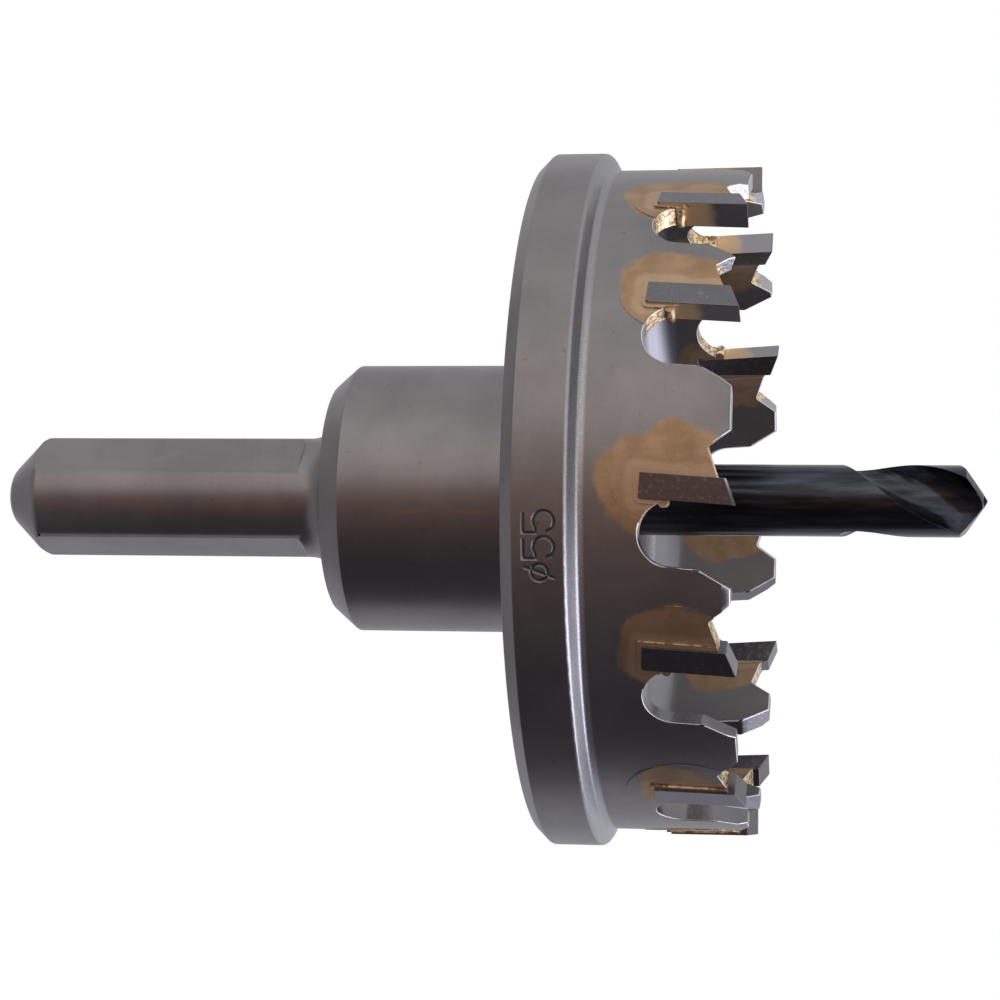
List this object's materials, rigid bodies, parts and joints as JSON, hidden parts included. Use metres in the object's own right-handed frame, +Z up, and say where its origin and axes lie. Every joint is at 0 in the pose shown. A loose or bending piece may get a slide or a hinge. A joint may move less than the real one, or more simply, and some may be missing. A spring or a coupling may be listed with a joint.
{
  "type": "hole saw",
  "caption": "Carbide-tipped hole saw: a steel cup with a stop flange and hub on a chuck shank with flats, and a short-fluted pilot drill held in the hub.",
  "frame": {"origin": "on the tool's axis, where the shank's flats end and the chuck's nose stands", "axes": "+X along the axis towards the cutting end, +Z up, -Y towards the side that the picture shows"},
  "size_m": [0.0822, 0.057, 0.057],
  "materials": {
    "body_steel": "satin, turned",
    "drill_steel": "black oxide, polished",
    "screw_steel": "black oxide",
    "carbide": "ground, satin",
    "braze": "as run, tarnished"
  },
  "bodies": {
    "root": {"cutter_body": "body_steel", "pilot_drill": "drill_steel", "drill_set_screw": "screw_steel", "carbide_tip_01": "carbide", "carbide_tip_02": "carbide", "carbide_tip_03": "carbide", "carbide_tip_04": "carbide", "carbide_tip_05": "carbide", "carbide_tip_06": "carbide", "carbide_tip_07": "carbide", "carbide_tip_08": "carbide", "carbide_tip_09": "carbide", "carbide_tip_10": "carbide", "carbide_tip_11": "carbide", "carbide_tip_12": "carbide", "braze_01": "braze", "braze_02": "braze", "braze_03": "braze", "braze_04": "braze", "braze_05": "braze", "braze_06": "braze", "braze_07": "braze", "braze_08": "braze", "braze_09": "braze", "braze_10": "braze", "braze_11": "braze", "braze_12": "braze"}
  },
  "joints": []
}
